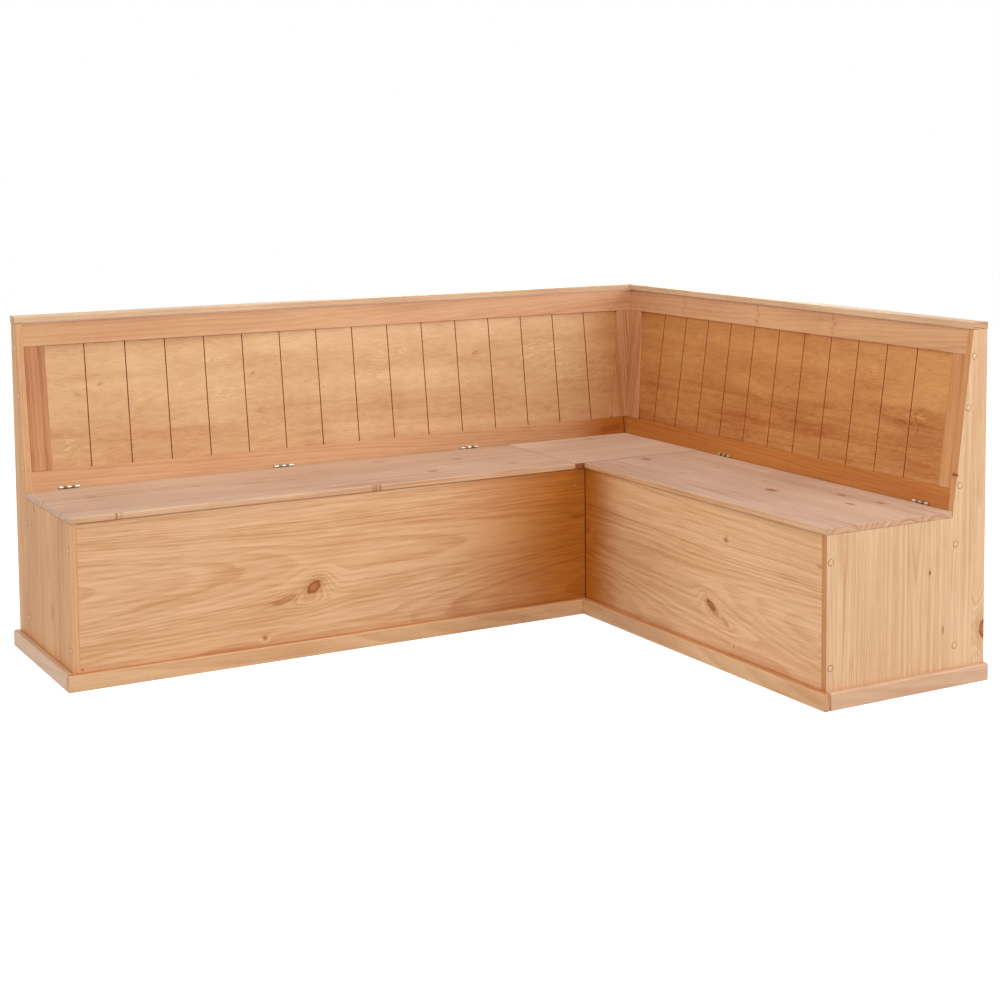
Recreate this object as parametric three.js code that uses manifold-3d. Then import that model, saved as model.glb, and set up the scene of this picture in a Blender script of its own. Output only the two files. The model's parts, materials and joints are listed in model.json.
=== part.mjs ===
// Corner storage bench in pine: a long and a short chest that meet in a corner, with hinged seat lids,
// a fixed corner seat and a sloping framed back. Millimetres, +Z up.
//
// Each wing is described from the back corner of the room: s runs along its wall, u comes out from
// its wall and z is the height above the floor. One function builds both wings.
import * as THREE from "three";
import { mergeVertices } from "three/addons/utils/BufferGeometryUtils.js";
import Module from "manifold-3d";

// Whole bench
const LONG_WING = 2000;
const SHORT_WING = 1585;
const SEAT_HEIGHT = 436;
const BACK_HEIGHT = 882;

// Fits
const JOINT_GAP = 0.3;
const OVERRUN = 5;

// Carcass boards
const BOARD = 18;
const END_DEPTH = 501.5;
const FRONT_RECESS = 3;
const BACK_BOARD_DROP = 16;
const POST = 40;
const CLEAT_WIDTH = 25;
const CLEAT_HEIGHT = 30;
const INNER_CORNER_GAP = 1.5;

// Chest bottoms, which slide in grooves of the front and back boards
const BOTTOM = 9;
const BOTTOM_HEIGHT = 30;
const HOUSING_DEPTH = 6;

// Seat lids and corner seat
const LID = 16;
const LID_OVERHANG = 4.3;
const LID_SEAM = 3.5;
const CORNER_SEAT_REACH = 26.7;
const CORNER_SEAT_SETBACK = 2;
const SOFT_EDGE = 3;

// Sloping back: the end panels' front edge at the seat and at the top, and the frame behind it
const BACK_OUT_AT_SEAT = 106;
const BACK_OUT_AT_TOP = 45.5;
const FRAME_RECESS = 3.5;
const FRAME = 18;
const TOP_RAIL = 63;
const BOTTOM_RAIL = 81.5;
const LONG_END_STILE = 56.8;
const SHORT_END_STILE = 49;
const LONG_CORNER_STILE = 48.3;
const SHORT_CORNER_STILE = 67.6;

// Panel of the back, with V grooves
const PANEL = 6;
const PANEL_RECESS = 6;
const PANEL_TONGUE = 8;
const GROOVE_PITCH = 113.9;
const GROOVE_WIDTH = 2.4;
const GROOVE_DEPTH = 2;
const LONG_FIRST_GROOVE = 109.2;
const SHORT_FIRST_GROOVE = 134.5;

// Top cap
const CAP = 17.7;
const CAP_OVERHANG = 1.6;
const CAP_END_OVERHANG = 2.2;

// Skirting
const SKIRTING = 18;
const SKIRTING_HEIGHT = 43.5;
const SKIRTING_ROUND = 5;

// Butt hinges, with the places of their middles along each lid
const LONG_HINGE_SHARES = [0.0874, 0.4973, 0.9208];
const SHORT_HINGE_SHARES = [0.1166, 0.8905];
const HINGE_LENGTH = 55;
const KNUCKLES = 5;
const KNUCKLE_GAP = 0.4;
const BARREL_RADIUS = 3.4;
const BARREL_LIFT = 0.2;
const BARREL_CLEARANCE = 0.4;
const PIN_RADIUS = 1.5;
const PIN_CLEARANCE = 0.1;
const PIN_HEAD_RADIUS = 2.4;
const PIN_HEAD = 1;
const LEAF = 1.2;
const LEAF_DEPTH = 16;
const LEAF_SCREW_RADIUS = 1.6;
const LEAF_SCREW_DROP = 9.5;
const LEAF_SCREW_INSET = 10;
const ROUND_SIDES = 12;

// Wooden plugs over the screws in the end panels
const PLUG_RADIUS = 8;
const PLUG_DEPTH = 8;
const PLUG_DOME = 1.4;
const PLUG_SIDES = 16;
const CHEST_PLUG_SHARES = [0.2323, 0.8411];
const BACK_PLUG_SHARES = [0.139, 0.5673, 0.852];

// Straight steps in each rounded edge and domed head
const ARC_STEPS = 4;

// Worked out from the sizes above
const LID_BOTTOM = SEAT_HEIGHT - LID;
const CARCASS_TOP = LID_BOTTOM - JOINT_GAP;
const SKIRTING_OUT = JOINT_GAP + SKIRTING;
const FRONT_FACE = END_DEPTH - FRONT_RECESS;
const FRONT_REAR = FRONT_FACE - BOARD;
const LID_FRONT = END_DEPTH + LID_OVERHANG;
const CORNER_SEAT_FRONT = LID_FRONT - CORNER_SEAT_SETBACK;
const CORNER_SEAT_LENGTH = LID_FRONT + CORNER_SEAT_REACH;
const SLOPE = (BACK_OUT_AT_SEAT - BACK_OUT_AT_TOP) / (BACK_HEIGHT - SEAT_HEIGHT);
const TILT = Math.atan(SLOPE);
const edgeOut = (z) => BACK_OUT_AT_SEAT - (z - SEAT_HEIGHT) * SLOPE;
const faceOut = (z) => edgeOut(z) - FRAME_RECESS / Math.cos(TILT);
const LID_BACK = edgeOut(LID_BOTTOM) + JOINT_GAP;
const BACK_BOARD_TOP = LID_BOTTOM - BACK_BOARD_DROP;
const FRAME_FOOT = BACK_BOARD_TOP + JOINT_GAP + FRAME * Math.sin(TILT);
const BACK_FACE = faceOut(FRAME_FOOT);
const BACK_REAR = BACK_FACE - BOARD;
const FRAME_HEIGHT = (BACK_HEIGHT - JOINT_GAP - FRAME_FOOT) / Math.cos(TILT);
const PANEL_LOW = BOTTOM_RAIL;
const PANEL_HIGH = FRAME_HEIGHT - TOP_RAIL;
const PIN_HEIGHT = SEAT_HEIGHT + BARREL_LIFT + BARREL_RADIUS;
const PIN_OUT = faceOut(PIN_HEIGHT) + (BARREL_RADIUS + BARREL_CLEARANCE) / Math.cos(TILT);

const pine = (color) => new THREE.MeshStandardMaterial({ color, roughness: 0.55, metalness: 0 });
const chestPine = pine("#cf9a66");
const lidPine = pine("#cf9f7c");
const backPine = pine("#cc935c");
const panelPly = pine("#d3a05f");
const trimPine = pine("#d09a68");
const plugPine = pine("#d8aa78");
const nickel = new THREE.MeshStandardMaterial({ color: "#cfc9b8", roughness: 0.35, metalness: 0.9 });

const wasm = await Module();
wasm.setup();

// Turns a closed geometry into a solid that can be joined and cut.
function solid(geometry) {
  const bare = geometry.clone();
  bare.deleteAttribute("normal");
  bare.deleteAttribute("uv");
  const welded = mergeVertices(bare);
  return new wasm.Manifold(
    new wasm.Mesh({
      numProp: 3,
      vertProperties: new Float32Array(welded.attributes.position.array),
      triVerts: new Uint32Array(welded.index.array),
    }),
  );
}

function geometryOf(made) {
  const mesh = made.getMesh();
  const geometry = new THREE.BufferGeometry();
  geometry.setAttribute("position", new THREE.BufferAttribute(mesh.vertProperties, 3));
  geometry.setIndex(new THREE.BufferAttribute(mesh.triVerts, 1));
  geometry.computeVertexNormals();
  return geometry;
}

// A box between two values of s, of u and of z.
function block(s, u, z) {
  const box = new THREE.BoxGeometry(s[1] - s[0], u[1] - u[0], z[1] - z[0]);
  return box.translate((s[0] + s[1]) / 2, (u[0] + u[1]) / 2, (z[0] + z[1]) / 2);
}

function drawnOut(shape, depth) {
  return new THREE.ExtrudeGeometry(shape, { depth, bevelEnabled: false, curveSegments: ARC_STEPS });
}

function outline(points) {
  return new THREE.Shape(points.map(([x, y]) => new THREE.Vector2(x, y)));
}

// A section drawn in u and z, run along s.
function moulding(shape, s) {
  const turn = new THREE.Matrix4().makeBasis(
    new THREE.Vector3(0, 1, 0),
    new THREE.Vector3(0, 0, 1),
    new THREE.Vector3(1, 0, 0),
  );
  return drawnOut(shape, s[1] - s[0]).applyMatrix4(turn).translate(s[0], 0, 0);
}

// A bar's section with its front edges rounded.
function roundedBar(u, z, lowRadius, highRadius) {
  const shape = new THREE.Shape();
  shape.moveTo(u[0], z[0]);
  if (lowRadius > 0) {
    shape.lineTo(u[1] - lowRadius, z[0]);
    shape.absarc(u[1] - lowRadius, z[0] + lowRadius, lowRadius, -Math.PI / 2, 0);
  } else {
    shape.lineTo(u[1], z[0]);
  }
  shape.lineTo(u[1], z[1] - highRadius);
  shape.absarc(u[1] - highRadius, z[1] - highRadius, highRadius, 0, Math.PI / 2);
  shape.lineTo(u[0], z[1]);
  return shape;
}

// A board's section with the groove that holds the chest bottom, in the face at grooveFace.
function housedBoard(u, top, grooveFace) {
  const inward = grooveFace === u[0] ? 1 : -1;
  const floor = grooveFace + inward * HOUSING_DEPTH;
  const low = BOTTOM_HEIGHT - JOINT_GAP;
  const high = BOTTOM_HEIGHT + BOTTOM + JOINT_GAP;
  if (inward > 0) {
    return outline([
      [u[0], 0], [u[1], 0], [u[1], top], [u[0], top],
      [u[0], high], [floor, high], [floor, low], [u[0], low],
    ]);
  }
  return outline([
    [u[0], 0], [u[1], 0], [u[1], low], [floor, low],
    [floor, high], [u[1], high], [u[1], top], [u[0], top],
  ]);
}

// A round bar along s, about a line at u and z.
function roundBar(radius, s, u, z, sides) {
  const bar = new THREE.CylinderGeometry(radius, radius, s[1] - s[0], sides);
  return bar.rotateZ(-Math.PI / 2).translate((s[0] + s[1]) / 2, u, z);
}

function add(group, name, geometry, material) {
  const mesh = new THREE.Mesh(geometry, material);
  mesh.name = name;
  group.add(mesh);
  return mesh;
}

// Places of the plugs on an end panel: front board, back board and frame of the back.
function plugPlaces() {
  const frameMiddle = (z) => faceOut(z) - FRAME / 2 / Math.cos(TILT);
  const places = [];
  for (const share of CHEST_PLUG_SHARES) {
    const z = CARCASS_TOP * share;
    places.push([FRONT_FACE - BOARD / 2, z]);
    places.push([BACK_FACE - BOARD / 2, z]);
  }
  for (const share of BACK_PLUG_SHARES) {
    const z = SEAT_HEIGHT + (BACK_HEIGHT - SEAT_HEIGHT) * share;
    places.push([frameMiddle(z), z]);
  }
  return places;
}

function endPanel(length) {
  const side = outline([
    [0, 0],
    [END_DEPTH, 0],
    [END_DEPTH, CARCASS_TOP],
    [edgeOut(CARCASS_TOP), CARCASS_TOP],
    [BACK_OUT_AT_TOP, BACK_HEIGHT],
    [0, BACK_HEIGHT],
  ]);
  let made = solid(moulding(side, [length - BOARD, length]));
  const bore = [length - PLUG_DEPTH - JOINT_GAP, length + OVERRUN];
  for (const [u, z] of plugPlaces()) {
    made = made.subtract(solid(roundBar(PLUG_RADIUS + JOINT_GAP, bore, u, z, PLUG_SIDES)));
  }
  return geometryOf(made);
}

// A plug with a domed head, standing on its foot at s = 0.
function plug() {
  const profile = [new THREE.Vector2(0, 0), new THREE.Vector2(PLUG_RADIUS, 0)];
  const ballRadius = (PLUG_RADIUS ** 2 + PLUG_DOME ** 2) / (2 * PLUG_DOME);
  const rim = Math.asin(PLUG_RADIUS / ballRadius);
  for (let i = 0; i <= ARC_STEPS; i += 1) {
    const angle = rim * (1 - i / ARC_STEPS);
    const height = PLUG_DEPTH + PLUG_DOME - ballRadius * (1 - Math.cos(angle));
    profile.push(new THREE.Vector2(ballRadius * Math.sin(angle), height));
  }
  profile[profile.length - 1].x = 0;
  return new THREE.LatheGeometry(profile, PLUG_SIDES).rotateZ(-Math.PI / 2);
}

function chest(group, wing) {
  const inside = wing.length - BOARD - JOINT_GAP;
  const front = housedBoard([FRONT_REAR, FRONT_FACE], CARCASS_TOP, FRONT_REAR);
  const back = housedBoard([BACK_REAR, BACK_FACE], BACK_BOARD_TOP, BACK_FACE);
  const sink = HOUSING_DEPTH - JOINT_GAP;
  const bottomHeights = [BOTTOM_HEIGHT, BOTTOM_HEIGHT + BOTTOM];
  add(group, wing.name + "_end_panel", endPanel(wing.length), chestPine);
  add(group, wing.name + "_front_board", moulding(front, [wing.frontStart, inside]), chestPine);
  add(group, wing.name + "_back_board", moulding(back, [wing.backStart, inside]), chestPine);
  add(
    group,
    wing.name + "_bottom_panel",
    block([wing.chestStart, inside], [BACK_FACE - sink, FRONT_REAR + sink], bottomHeights),
    panelPly,
  );
}

function skirting(group, wing) {
  const outer = [END_DEPTH + JOINT_GAP, END_DEPTH + SKIRTING_OUT];
  const run = [wing.skirtingStart, wing.length + SKIRTING_OUT];
  const section = roundedBar(outer, [0, SKIRTING_HEIGHT], 0, SKIRTING_ROUND);
  add(group, wing.name + "_front_skirting", moulding(section, run), trimPine);
  // The end skirting's section faces the wing's end, so it is drawn along u and turned.
  const across = roundedBar([JOINT_GAP, SKIRTING_OUT], [0, SKIRTING_HEIGHT], 0, SKIRTING_ROUND);
  const end = moulding(across, [0, END_DEPTH]).rotateZ(-Math.PI / 2).translate(wing.length, END_DEPTH, 0);
  add(group, wing.name + "_end_skirting", end, trimPine);
}

function seatLid(group, wing) {
  const section = roundedBar([LID_BACK, LID_FRONT], [LID_BOTTOM, SEAT_HEIGHT], SOFT_EDGE, SOFT_EDGE);
  add(group, wing.name + "_seat_lid", moulding(section, [wing.lidStart, wing.length]), lidPine);
}

// The framed back, drawn in its own plane: s along the wall and w up the slope, with depth going
// into the back. Its corner end leans with the line where the two backs meet.
function framedBack(group, wing) {
  const back = new THREE.Group();
  back.rotation.x = Math.PI / 2 + TILT;
  back.position.set(0, faceOut(FRAME_FOOT), FRAME_FOOT);
  group.add(back);

  const corner = (w, offset) => faceOut(FRAME_FOOT) - w * Math.sin(TILT) + offset;
  const inside = wing.length - BOARD - JOINT_GAP;
  const stileEdge = wing.length - BOARD - wing.endStile;
  const piece = (low, high, leftOffset, right, depths) =>
    drawnOut(
      outline([
        [corner(low, leftOffset), low],
        [right, low],
        [right, high],
        [corner(high, leftOffset), high],
      ]),
      depths[1] - depths[0],
    ).translate(0, 0, depths[0]);
  const panelCut = (grow) =>
    piece(
      PANEL_LOW - PANEL_TONGUE - grow,
      PANEL_HIGH + PANEL_TONGUE + grow,
      wing.cornerStile - PANEL_TONGUE - grow,
      stileEdge + PANEL_TONGUE + grow,
      [PANEL_RECESS - grow, PANEL_RECESS + PANEL + grow],
    );
  const groove = solid(panelCut(JOINT_GAP));
  const grooved = (geometry) => geometryOf(solid(geometry).subtract(groove));
  const whole = [0, FRAME];
  const low = PANEL_LOW + JOINT_GAP;
  const high = PANEL_HIGH - JOINT_GAP;

  const bottomRail = piece(0, PANEL_LOW, wing.frameStart, inside, whole);
  const topRail = piece(PANEL_HIGH, FRAME_HEIGHT, wing.frameStart, inside, whole);
  const endStile = block([stileEdge, inside], [low, high], whole);
  const cornerStile = drawnOut(
    outline([
      [corner(low, wing.frameStart), low],
      [corner(low, wing.cornerStile), low],
      [corner(high, wing.cornerStile), high],
      [corner(high, wing.frameStart), high],
    ]),
    FRAME,
  );
  add(back, wing.name + "_back_bottom_rail", grooved(bottomRail), backPine);
  add(back, wing.name + "_back_top_rail", grooved(topRail), backPine);
  add(back, wing.name + "_back_end_stile", grooved(endStile), backPine);
  add(back, wing.name + "_back_corner_stile", grooved(cornerStile), backPine);

  // V grooves down the panel, counted from the end stile until the corner stile is reached.
  let panel = solid(panelCut(0));
  const slant = (GROOVE_WIDTH / 2) * (1 + OVERRUN / GROOVE_DEPTH);
  const first = stileEdge - wing.firstGroove;
  for (let s = first; s > corner(PANEL_LOW, wing.cornerStile); s -= GROOVE_PITCH) {
    const notch = outline([
      [s - slant, PANEL_RECESS - OVERRUN],
      [s + slant, PANEL_RECESS - OVERRUN],
      [s, PANEL_RECESS + GROOVE_DEPTH],
    ]);
    const cut = drawnOut(notch, FRAME_HEIGHT).rotateX(Math.PI / 2).translate(0, FRAME_HEIGHT, 0);
    panel = panel.subtract(solid(cut));
  }
  add(back, wing.name + "_back_panel", geometryOf(panel), panelPly);
}

// The cap lies on the end panel and the frame, and meets the other cap in a mitre at the corner.
function topCap(group, wing) {
  const out = BACK_OUT_AT_TOP + CAP_OVERHANG;
  const heights = [BACK_HEIGHT + JOINT_GAP, BACK_HEIGHT + JOINT_GAP + CAP];
  const section = roundedBar([0, out], heights, SOFT_EDGE, SOFT_EDGE);
  const bar = solid(moulding(section, [0, wing.length + CAP_END_OVERHANG]));
  const reach = out + OVERRUN;
  const mitre = outline([
    [JOINT_GAP - OVERRUN, -OVERRUN],
    [JOINT_GAP + reach, reach],
    [JOINT_GAP - OVERRUN, reach],
  ]);
  const cut = solid(drawnOut(mitre, CAP + 2 * OVERRUN).translate(0, 0, heights[0] - OVERRUN));
  add(group, wing.name + "_top_cap", geometryOf(bar.subtract(cut)), trimPine);
}

// One leaf of a butt hinge about s = 0: its plate from the pin down, every second knuckle and two
// screw holes. Turning it by lean about the pin lays the plate along what it is screwed to.
function hingeLeaf(ownParity, plateOut, lean) {
  const step = HINGE_LENGTH / KNUCKLES;
  const half = HINGE_LENGTH / 2;
  let made = solid(block([-half, half], plateOut, [-LEAF_DEPTH, 0]));
  for (const s of [-half + LEAF_SCREW_INSET, half - LEAF_SCREW_INSET]) {
    const hole = new THREE.CylinderGeometry(
      LEAF_SCREW_RADIUS,
      LEAF_SCREW_RADIUS,
      LEAF + 2 * OVERRUN,
      ROUND_SIDES,
    ).translate(s, (plateOut[0] + plateOut[1]) / 2, -LEAF_SCREW_DROP);
    made = made.subtract(solid(hole));
  }
  made = solid(geometryOf(made).rotateX(lean));
  for (let i = 0; i < KNUCKLES; i += 1) {
    const from = -half + i * step;
    const own = i % 2 === ownParity;
    const first = i === 0;
    const last = i === KNUCKLES - 1;
    const span = own
      ? [from + (first ? 0 : KNUCKLE_GAP / 2), from + step - (last ? 0 : KNUCKLE_GAP / 2)]
      : [from - (first ? OVERRUN : KNUCKLE_GAP / 2), from + step + (last ? OVERRUN : KNUCKLE_GAP / 2)];
    const radius = own ? BARREL_RADIUS : BARREL_RADIUS + BARREL_CLEARANCE;
    const barrel = solid(roundBar(radius, span, 0, 0, ROUND_SIDES));
    made = own ? made.add(barrel) : made.subtract(barrel);
  }
  const bore = [-half - OVERRUN, half + OVERRUN];
  made = made.subtract(solid(roundBar(PIN_RADIUS + PIN_CLEARANCE, bore, 0, 0, ROUND_SIDES)));
  return geometryOf(made);
}

function hingePin() {
  const half = HINGE_LENGTH / 2 + KNUCKLE_GAP;
  const profile = [
    [0, -half - PIN_HEAD],
    [PIN_HEAD_RADIUS, -half - PIN_HEAD],
    [PIN_HEAD_RADIUS, -half],
    [PIN_RADIUS, -half],
    [PIN_RADIUS, half],
    [PIN_HEAD_RADIUS, half],
    [PIN_HEAD_RADIUS, half + PIN_HEAD],
    [0, half + PIN_HEAD],
  ];
  const points = profile.map(([x, y]) => new THREE.Vector2(x, y));
  return new THREE.LatheGeometry(points, ROUND_SIDES).rotateZ(-Math.PI / 2);
}

function hinges(group, wing) {
  const nearFace = -BARREL_RADIUS - BARREL_CLEARANCE + JOINT_GAP;
  const lidFace = LID_BACK - JOINT_GAP - PIN_OUT;
  wing.hingeShares.forEach((share, i) => {
    const s = wing.lidStart + (wing.length - wing.lidStart) * share;
    const parts = [
      ["fixed_leaf", hingeLeaf(0, [nearFace, nearFace + LEAF], TILT)],
      ["lid_leaf", hingeLeaf(1, [lidFace - LEAF, lidFace], 0)],
      ["pin", hingePin()],
    ];
    for (const [part, geometry] of parts) {
      const mesh = add(group, wing.name + "_hinge_" + (i + 1) + "_" + part, geometry, nickel);
      mesh.position.set(s, PIN_OUT, PIN_HEIGHT);
    }
  });
}

function plugs(group, wing) {
  plugPlaces().forEach(([u, z], i) => {
    const mesh = add(group, wing.name + "_end_plug_" + (i + 1), plug(), plugPine);
    mesh.position.set(wing.length - PLUG_DEPTH, u, z);
  });
}

const longWing = {
  name: "long",
  length: LONG_WING,
  frontStart: BACK_FACE + JOINT_GAP,
  backStart: BACK_REAR,
  chestStart: CORNER_SEAT_LENGTH + LID_SEAM / 2 + BOARD / 2 + JOINT_GAP,
  skirtingStart: END_DEPTH + SKIRTING_OUT + JOINT_GAP,
  lidStart: CORNER_SEAT_LENGTH + LID_SEAM,
  frameStart: -FRAME / Math.cos(TILT),
  endStile: LONG_END_STILE,
  cornerStile: LONG_CORNER_STILE,
  firstGroove: LONG_FIRST_GROOVE,
  hingeShares: LONG_HINGE_SHARES,
};

// The short frame's corner end lies on the long frame's face, which leans away from its depth.
const shortWing = {
  name: "short",
  length: SHORT_WING,
  frontStart: FRONT_FACE + INNER_CORNER_GAP,
  backStart: BACK_FACE + JOINT_GAP,
  chestStart: FRONT_FACE + JOINT_GAP,
  skirtingStart: END_DEPTH + JOINT_GAP,
  lidStart: CORNER_SEAT_FRONT + LID_SEAM,
  frameStart: JOINT_GAP + (FRAME * Math.sin(TILT) ** 2) / Math.cos(TILT),
  endStile: SHORT_END_STILE,
  cornerStile: SHORT_CORNER_STILE,
  firstGroove: SHORT_FIRST_GROOVE,
  hingeShares: SHORT_HINGE_SHARES,
};

function buildWing(group, wing) {
  chest(group, wing);
  skirting(group, wing);
  seatLid(group, wing);
  framedBack(group, wing);
  topCap(group, wing);
  hinges(group, wing);
  plugs(group, wing);
}

// Pieces of the corner, in the long wing's s and u.
function buildCorner(group) {
  const post = [BACK_FACE + JOINT_GAP, BACK_FACE + JOINT_GAP + POST];
  const seam = CORNER_SEAT_LENGTH + LID_SEAM / 2;
  const behindSeat = faceOut(LID_BOTTOM) + JOINT_GAP;
  const innerPost = [FRONT_REAR - JOINT_GAP - POST, FRONT_REAR - JOINT_GAP];
  const beyondFront = FRONT_FACE + JOINT_GAP;
  add(
    group,
    "corner_seat",
    block([behindSeat, CORNER_SEAT_LENGTH], [behindSeat, CORNER_SEAT_FRONT], [LID_BOTTOM, SEAT_HEIGHT]),
    lidPine,
  );
  add(
    group,
    "seam_partition",
    block(
      [seam - BOARD / 2, seam + BOARD / 2],
      [BACK_FACE + JOINT_GAP, FRONT_REAR - JOINT_GAP],
      [0, CARCASS_TOP],
    ),
    chestPine,
  );
  add(group, "rear_corner_post", block(post, post, [0, CARCASS_TOP]), chestPine);
  add(
    group,
    "inner_corner_post",
    block(innerPost, [beyondFront, beyondFront + POST], [BOTTOM_HEIGHT + BOTTOM + JOINT_GAP, CARCASS_TOP]),
    chestPine,
  );
  add(
    group,
    "short_lid_cleat",
    block(
      [BACK_FACE + JOINT_GAP, innerPost[0] - JOINT_GAP],
      [beyondFront, beyondFront + CLEAT_WIDTH],
      [CARCASS_TOP - CLEAT_HEIGHT, CARCASS_TOP],
    ),
    chestPine,
  );
}

const bench = new THREE.Group();
// The long wing lies along -X from the back corner, and the short wing, mirrored, along -Y.
const longGroup = new THREE.Group();
longGroup.rotation.z = Math.PI;
const shortGroup = new THREE.Group();
shortGroup.rotation.z = -Math.PI / 2;
shortGroup.scale.y = -1;
buildWing(longGroup, longWing);
buildCorner(longGroup);
buildWing(shortGroup, shortWing);
bench.add(longGroup, shortGroup);
// The origin is under the middle of the bench's box, on the floor.
bench.position.set((LONG_WING + SKIRTING_OUT) / 2, (SHORT_WING + SKIRTING_OUT) / 2, 0);

export default bench;
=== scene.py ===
"""Looks of the corner storage bench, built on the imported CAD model. Metres, +Z up."""
import json
import math
from dataclasses import dataclass

import bmesh
import bpy
from mathutils import Matrix, Vector
from mathutils.bvhtree import BVHTree

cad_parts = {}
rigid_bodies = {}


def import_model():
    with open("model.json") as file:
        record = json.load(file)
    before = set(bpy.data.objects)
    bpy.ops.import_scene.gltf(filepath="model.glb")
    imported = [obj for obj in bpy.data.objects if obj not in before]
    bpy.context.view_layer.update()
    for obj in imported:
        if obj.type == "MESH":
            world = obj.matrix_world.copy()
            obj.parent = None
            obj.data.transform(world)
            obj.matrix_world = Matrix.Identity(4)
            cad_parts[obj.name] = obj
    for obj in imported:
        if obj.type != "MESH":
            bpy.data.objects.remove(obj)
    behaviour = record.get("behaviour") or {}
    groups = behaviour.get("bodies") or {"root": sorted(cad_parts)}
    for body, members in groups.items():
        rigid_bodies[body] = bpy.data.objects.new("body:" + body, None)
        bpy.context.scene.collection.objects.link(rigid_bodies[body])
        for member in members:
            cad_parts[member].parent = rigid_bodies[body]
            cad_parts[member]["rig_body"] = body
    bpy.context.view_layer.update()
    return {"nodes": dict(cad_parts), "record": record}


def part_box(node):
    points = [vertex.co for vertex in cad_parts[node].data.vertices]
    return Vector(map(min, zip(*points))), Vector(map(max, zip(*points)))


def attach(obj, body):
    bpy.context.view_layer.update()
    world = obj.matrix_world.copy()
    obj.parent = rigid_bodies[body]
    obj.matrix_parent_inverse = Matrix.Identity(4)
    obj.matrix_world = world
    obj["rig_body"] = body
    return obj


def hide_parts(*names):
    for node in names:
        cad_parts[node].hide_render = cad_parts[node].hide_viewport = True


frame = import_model()

# The camera, solved from the straight edges of the photograph, with its angles in radians
CAMERA_PLACE = (-2.26035, -4.16518, 1.34587)
CAMERA_YAW = 0.514
CAMERA_PITCH = 0.08375
CAMERA_ROLL = -0.00874
SENSOR = 36.0
FOCAL_SHARE = 1.85085
SHIFT_X = -0.0082
SHIFT_Y = -0.2

# Directions of each wing: along it, out from its wall, and up, also on its sloping back
WINGS = ("long", "short")
UP = Vector((0, 0, 1))
ALONG = {"long": Vector((1, 0, 0)), "short": Vector((0, -1, 0))}
OUT = {"long": Vector((0, -1, 0)), "short": Vector((-1, 0, 0))}
END = {"long": Vector((-1, 0, 0)), "short": Vector((0, -1, 0))}
BACK_OUT_AT_SEAT = 0.106
BACK_OUT_AT_TOP = 0.0455
BACK_RISE = 0.446
TILT = math.atan((BACK_OUT_AT_SEAT - BACK_OUT_AT_TOP) / BACK_RISE)
BACK_FACE = {wing: OUT[wing] * math.cos(TILT) + UP * math.sin(TILT) for wing in WINGS}
BACK_UP = {wing: UP * math.cos(TILT) - OUT[wing] * math.sin(TILT) for wing in WINGS}

# Where the boards' visible faces lie, from the frame
LONG_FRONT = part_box("long_front_board")[0].y
SHORT_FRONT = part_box("short_front_board")[0].x
FRONT_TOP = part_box("long_front_board")[1].z
LONG_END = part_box("long_end_panel")[0].x
SHORT_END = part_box("short_end_panel")[0].y
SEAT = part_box("long_seat_lid")[1].z
INNER_CORNER = (SHORT_FRONT, LONG_FRONT, 0)

# Floor, surroundings and lamps: each lamp's name, place, side and power
FLOOR_REACH = 12.0
FLOOR_GAP = 0.0004
FLOOR_SHADE = 0.6
FLOOR_ROUGHNESS = 0.9
FLOOR_GLOW = 0.9
BACKDROP = 1.0
AMBIENT = 0.16
WHITE = (1, 1, 1, 1)
LAMP_AIM = Vector((0.1, 0.1, 0.4))
LAMPS = (
    ("key_lamp", (3.2, -4.4, 2.4), 2.6, 132),
    ("fill_lamp", (-2.6, -4.6, 3.0), 3.0, 106),
    ("top_lamp", (-0.6, -0.6, 4.2), 3.2, 84),
    ("side_lamp", (-8.0, 2.2, 1.2), 2.0, 165),
    ("back_lamp", (3.4, 5.2, 2.2), 3.0, 110),
)

# Softened edges
BOARD_EDGE = 0.0011
TRIM_EDGE = 0.0028
GROOVE_EDGE = 0.0007
EDGE_STEPS = 3
SHARP_ANGLE = math.radians(32)
FLAT_ANGLE = math.radians(1)
WELD = 1e-6


# Geometry

def new_object(name, data):
    """A new object in the scene."""
    thing = bpy.data.objects.new(name, data)
    bpy.context.scene.collection.objects.link(thing)
    return thing


def mesh_of(work, name):
    """A new mesh made from a bmesh, which is then freed."""
    mesh = bpy.data.meshes.new(name)
    work.to_mesh(mesh)
    work.free()
    return mesh


def finished(name, mesh, body, stands_for=()):
    """A piece of the bench with that mesh, shaded smooth between its softened edges."""
    piece = new_object(name, mesh)
    mesh.shade_smooth()
    mesh.set_sharp_from_angle(angle=SHARP_ANGLE)
    piece.modifiers.new("face_normals", "WEIGHTED_NORMAL").keep_sharp = True
    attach(piece, body)
    if stands_for:
        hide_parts(*stands_for)
    return piece


def body_of_node(node):
    """The name of the CAD body that a node rides on."""
    return frame["nodes"][node]["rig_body"]


def slot_of_node(node):
    """The record's material slot of a node."""
    return next(part["material_slot"] for part in frame["record"]["subparts"] if part["node"] == node)


def middle_of(node):
    """The middle of a node's box."""
    low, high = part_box(node)
    return (low + high) / 2


def softened(node, width):
    """A copy of a CAD node whose sharp edges are rounded by that width."""
    mesh = frame["nodes"][node].data.copy()
    work = bmesh.new()
    work.from_mesh(mesh)
    bmesh.ops.remove_doubles(work, verts=work.verts, dist=WELD)
    bmesh.ops.dissolve_limit(work, angle_limit=FLAT_ANGLE, verts=work.verts, edges=work.edges)
    if width:
        sharp = [e for e in work.edges if e.is_manifold and e.calc_face_angle() > SHARP_ANGLE]
        bmesh.ops.bevel(
            work,
            geom=sharp,
            offset=width,
            segments=EDGE_STEPS,
            profile=0.5,
            affect="EDGES",
            clamp_overlap=True,
        )
    work.to_mesh(mesh)
    work.free()
    mesh.materials.clear()
    return finished("look_" + node, mesh, body_of_node(node), [node])


# Shader nodes

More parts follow.
